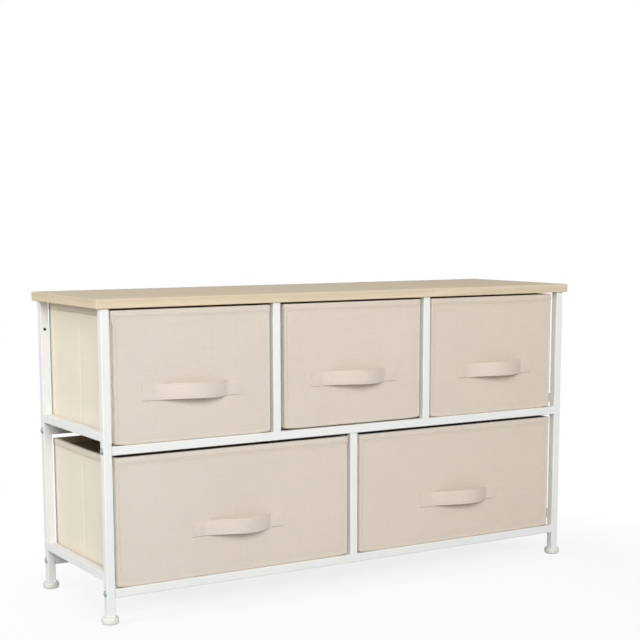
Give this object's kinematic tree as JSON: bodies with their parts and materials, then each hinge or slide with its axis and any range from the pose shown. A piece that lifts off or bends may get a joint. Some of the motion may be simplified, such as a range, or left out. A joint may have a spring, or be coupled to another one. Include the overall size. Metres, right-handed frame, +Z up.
{
  "type": "fabric drawer dresser",
  "caption": "Low wide dresser: square steel tube frame, wood laminate top and soft fabric bins on open rails that slide out by sewn strap handles.",
  "frame": {"origin": "on the floor, in the middle of the overall box, straps and feet included", "axes": "+X along the board to the right as seen from the front, +Y to the rear, +Z up; the drawers open towards -Y"},
  "size_m": [1, 0.3166, 0.546],
  "materials": {
    "oak_laminate": "light oak laminate, satin, fine grain along the length",
    "white_steel": "white powder coat, fine texture",
    "foot_plastic": "off-white moulded plastic",
    "bolt_steel": "zinc-plated domed head",
    "plug_plastic": "black moulded plastic inside the tubes",
    "drawer_fabric": "beige linen-look cloth",
    "strap_webbing": "the same cloth, folded and sewn flat",
    "stiffener_board": "pressed grey-brown board inside the cloth",
    "bottom_board": "pressed board covered with thin beige cloth"
  },
  "bodies": {
    "frame": {"top_board": "oak_laminate", "post_front_left": "white_steel", "post_front_right": "white_steel", "post_rear_left": "white_steel", "post_rear_right": "white_steel", "side_rail_bottom_left": "white_steel", "side_rail_bottom_right": "white_steel", "rail_bottom_front": "white_steel", "rail_bottom_rear": "white_steel", "side_rail_mid_left": "white_steel", "side_rail_mid_right": "white_steel", "rail_mid_front": "white_steel", "rail_mid_rear": "white_steel", "divider_upper_left_upright_front": "white_steel", "divider_upper_left_upright_rear": "white_steel", "divider_upper_left_depth_rail": "white_steel", "divider_upper_right_upright_front": "white_steel", "divider_upper_right_upright_rear": "white_steel", "divider_upper_right_depth_rail": "white_steel", "divider_lower_upright_front": "white_steel", "divider_lower_upright_rear": "white_steel", "divider_lower_depth_rail": "white_steel", "foot_front_left": "foot_plastic", "foot_front_right": "foot_plastic", "foot_rear_left": "foot_plastic", "foot_rear_right": "foot_plastic", "side_bolts_left": "bolt_steel", "side_bolts_right": "bolt_steel", "divider_bolts": "bolt_steel", "rail_end_nuts": "plug_plastic", "divider_end_nuts": "plug_plastic", "top_pegs": "plug_plastic"},
    "drawer_upper_left": {"drawer_upper_left_shell": "drawer_fabric", "drawer_upper_left_front_stiffener": "stiffener_board", "drawer_upper_left_side_stiffener": "stiffener_board", "drawer_upper_left_bottom_board": "bottom_board", "drawer_upper_left_strap": "strap_webbing"},
    "drawer_upper_middle": {"drawer_upper_middle_shell": "drawer_fabric", "drawer_upper_middle_front_stiffener": "stiffener_board", "drawer_upper_middle_side_stiffener": "stiffener_board", "drawer_upper_middle_bottom_board": "bottom_board", "drawer_upper_middle_strap": "strap_webbing"},
    "drawer_upper_right": {"drawer_upper_right_shell": "drawer_fabric", "drawer_upper_right_front_stiffener": "stiffener_board", "drawer_upper_right_side_stiffener": "stiffener_board", "drawer_upper_right_bottom_board": "bottom_board", "drawer_upper_right_strap": "strap_webbing"},
    "drawer_lower_left": {"drawer_lower_left_shell": "drawer_fabric", "drawer_lower_left_front_stiffener": "stiffener_board", "drawer_lower_left_side_stiffener": "stiffener_board", "drawer_lower_left_bottom_board": "bottom_board", "drawer_lower_left_strap": "strap_webbing"},
    "drawer_lower_right": {"drawer_lower_right_shell": "drawer_fabric", "drawer_lower_right_front_stiffener": "stiffener_board", "drawer_lower_right_side_stiffener": "stiffener_board", "drawer_lower_right_bottom_board": "bottom_board", "drawer_lower_right_strap": "strap_webbing"}
  },
  "joints": [
    {"name": "upper_left_slide", "type": "slide", "parent": "frame", "child": "drawer_upper_left", "axis": [0, -1, 0], "range_m": [0, 0.22]},
    {"name": "upper_middle_slide", "type": "slide", "parent": "frame", "child": "drawer_upper_middle", "axis": [0, -1, 0], "range_m": [0, 0.22]},
    {"name": "upper_right_slide", "type": "slide", "parent": "frame", "child": "drawer_upper_right", "axis": [0, -1, 0], "range_m": [0, 0.22]},
    {"name": "lower_left_slide", "type": "slide", "parent": "frame", "child": "drawer_lower_left", "axis": [0, -1, 0], "range_m": [0, 0.22]},
    {"name": "lower_right_slide", "type": "slide", "parent": "frame", "child": "drawer_lower_right", "axis": [0, -1, 0], "range_m": [0, 0.22]}
  ]
}
